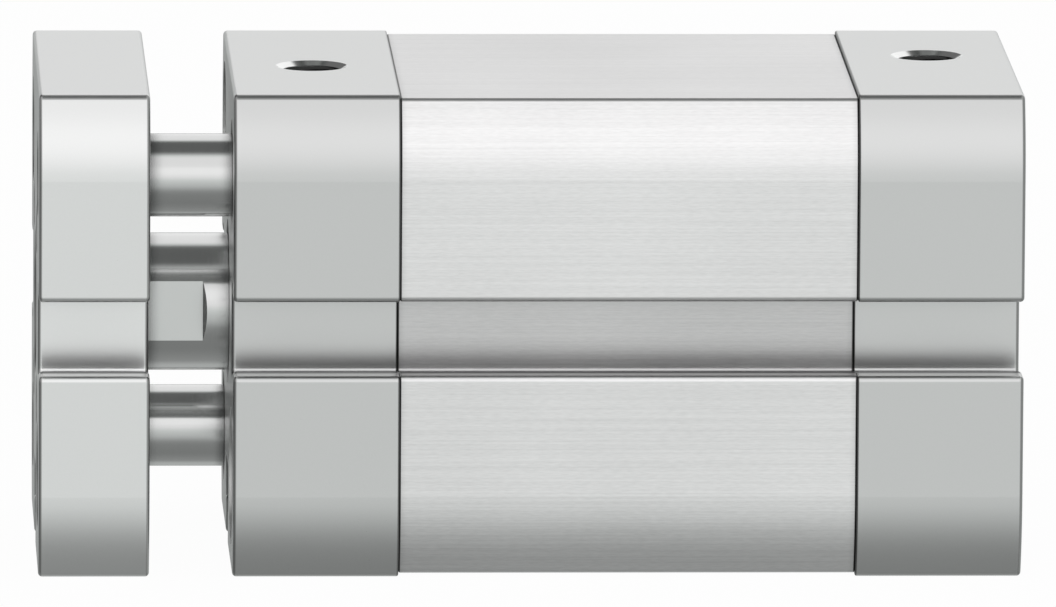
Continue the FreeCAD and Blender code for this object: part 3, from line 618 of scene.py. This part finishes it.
# Studio: shades of the room by height above the horizon in degrees
FRONT_SHADES = [
    (-90, 0.24),
    (-48, 0.265),
    (-38, 0.315),
    (-24, 0.565),
    (-8, 0.75),
    (5, 1.0),
    (24, 1.0),
    (42, 0.94),
    (57, 0.94),
    (62, 0.84),
    (69, 0.40),
    (76, 0.13),
    (90, 0.13),
]
BACK_SHADES = [
    (-90, 0.30),
    (-70, 0.32),
    (-55, 0.50),
    (-20, 0.50),
    (-13, 0.40),
    (-5, 0.38),
    (12, 1.0),
    (56, 0.95),
    (62, 0.6),
    (66, 0.2),
    (72, 0.14),
    (90, 0.13),
]
# Places in the room are the x, y and z of the direction to them, each from -1 to 1
FRONT_TO_BACK = (-0.3, 0.3)
# The left end of the room is darker, and the right end and the sides of the ceiling are plain grey
LEFT_END = (-0.70, -0.92)
LEFT_LEVEL = 0.45
RIGHT_END = (0.45, 0.80)
RIGHT_SHADE = 0.75
CEILING_HEIGHT = (0.86, 0.95)
CEILING_SIDE = (0.10, 0.24)
CEILING_FRONT = (0.32, 0.18)
CEILING_SHADE = 0.7
# Dark flags behind the part, at its left and high at its right: start and full shade along x, y and z
FLAGS = [
    ((-0.10, -0.20), (0.2, 0.4), (0.14, 0.26)),
    ((0.08, 0.20), (0.2, 0.4), (0.74, 0.84)),
]
FLAG_SHADE = 0.14
# The room's greys are a little cold, its whites are not
TINT_RANGE = (0.95, 0.80)
SHADE_TINT = (0.968, 1.0, 0.984, 1)


def height_shades(room, height, stops):
    """Shade of the room by height, which is from 0 straight down to 1 straight up."""
    ramp = room.add("ShaderNodeValToRGB", {"Fac": height})
    steps = ramp.color_ramp.elements
    while len(steps) < len(stops):
        # Anywhere between the first and the last step; it gets its own place below
        steps.new(0.5)
    for step, (degrees, shade) in zip(steps, stops):
        step.position = (math.sin(math.radians(degrees)) + 1) / 2
        step.color = grey(shade)
    return ramp.outputs["Color"]


def make_room():
    """Room with a pale front, a dark strip of ceiling and a grey floor; the camera sees it white."""
    scene.world = bpy.data.worlds.new("studio")
    scene.world.use_nodes = True
    room = Tree(scene.world.node_tree)
    x, y, z = room.parts(room.add("ShaderNodeTexCoord").outputs["Generated"])
    height = room.ramp(z, -1, 1, 0, 1)
    front = height_shades(room, height, FRONT_SHADES)
    back = height_shades(room, height, BACK_SHADES)
    shade = room.mix(room.fade(y, *FRONT_TO_BACK, 0, 1), front, back)
    shade = room.mix(room.fade(x, *RIGHT_END, 0, 1), shade, grey(RIGHT_SHADE))
    overhead = room.times(
        room.fade(z, *CEILING_HEIGHT, 0, 1),
        room.fade(room.math("ABSOLUTE", x), *CEILING_SIDE, 0, 1),
        room.fade(y, *CEILING_FRONT, 0, 1),
    )
    shade = room.mix(overhead, shade, grey(CEILING_SHADE))
    shade = room.darken(shade, room.mix(room.fade(shade, *TINT_RANGE, 0, 1), WHITE, SHADE_TINT))
    level = room.fade(x, *LEFT_END, 1, LEFT_LEVEL)
    for ranges in FLAGS:
        flag = [room.fade(value, *limits, 0, 1) for value, limits in zip((x, y, z), ranges)]
        level = room.times(level, room.rest(room.times(*flag, 1 - FLAG_SHADE)))
    light = room.add("ShaderNodeBackground", {"Color": shade, "Strength": level})
    white = room.add("ShaderNodeBackground", {"Color": WHITE})
    seen = room.add("ShaderNodeLightPath").outputs["Is Camera Ray"]
    layers = {"Fac": seen, 1: light.outputs["Background"], 2: white.outputs["Background"]}
    both = room.add("ShaderNodeMixShader", layers)
    room.link(both.outputs["Shader"], room.tree.nodes["World Output"].inputs["Surface"])


make_room()


def soft_box(name, place, wide, tall, watts):
    """A soft area lamp that faces the middle of the part."""
    lamp = bpy.data.lights.new(name, "AREA")
    lamp.shape = "RECTANGLE"
    lamp.size = wide
    lamp.size_y = tall
    lamp.energy = watts
    box = bpy.data.objects.new(name, lamp)
    box.location = place
    aim = (cad_low + cad_high) / 2 - Vector(place)
    box.rotation_euler = aim.to_track_quat("-Z", "Y").to_euler()
    scene.collection.objects.link(box)


soft_box("front_box", place=(-0.3, -1.6, 0.6), wide=1.6, tall=0.6, watts=0.25)


# Camera, as fitted to the photograph
VIEW_AZIMUTH = math.radians(-2.29)
VIEW_ELEVATION = math.radians(9.184)
VIEW_ROLL = math.radians(0.345)
VIEW_DISTANCE = 1.428
VIEW_TARGET = Vector((0.021896, 0, -0.000193))
FOCAL_PIXELS = 19596
IMAGE_WIDTH = 1056
CLIP_START = 0.1
CLIP_END = 50


def make_camera():
    """The camera at the photograph's viewing angle."""
    camera = bpy.data.cameras.new("camera")
    camera.sensor_fit = "HORIZONTAL"
    camera.lens = FOCAL_PIXELS * camera.sensor_width / IMAGE_WIDTH
    camera.clip_start = CLIP_START
    camera.clip_end = CLIP_END
    right = Vector((math.cos(VIEW_AZIMUTH), math.sin(VIEW_AZIMUTH), 0))
    level_back = Vector((math.sin(VIEW_AZIMUTH), -math.cos(VIEW_AZIMUTH), 0))
    back = level_back * math.cos(VIEW_ELEVATION) + Vector((0, 0, math.sin(VIEW_ELEVATION)))
    up = back.cross(right)
    turned_right = right * math.cos(VIEW_ROLL) + up * math.sin(VIEW_ROLL)
    turned_up = up * math.cos(VIEW_ROLL) - right * math.sin(VIEW_ROLL)
    turn = Matrix((turned_right, turned_up, back)).transposed()
    eye = bpy.data.objects.new("camera", camera)
    eye.matrix_world = Matrix.Translation(VIEW_TARGET + back * VIEW_DISTANCE) @ turn.to_4x4()
    scene.collection.objects.link(eye)
    scene.camera = eye


make_camera()
scene.view_settings.view_transform = "Standard"
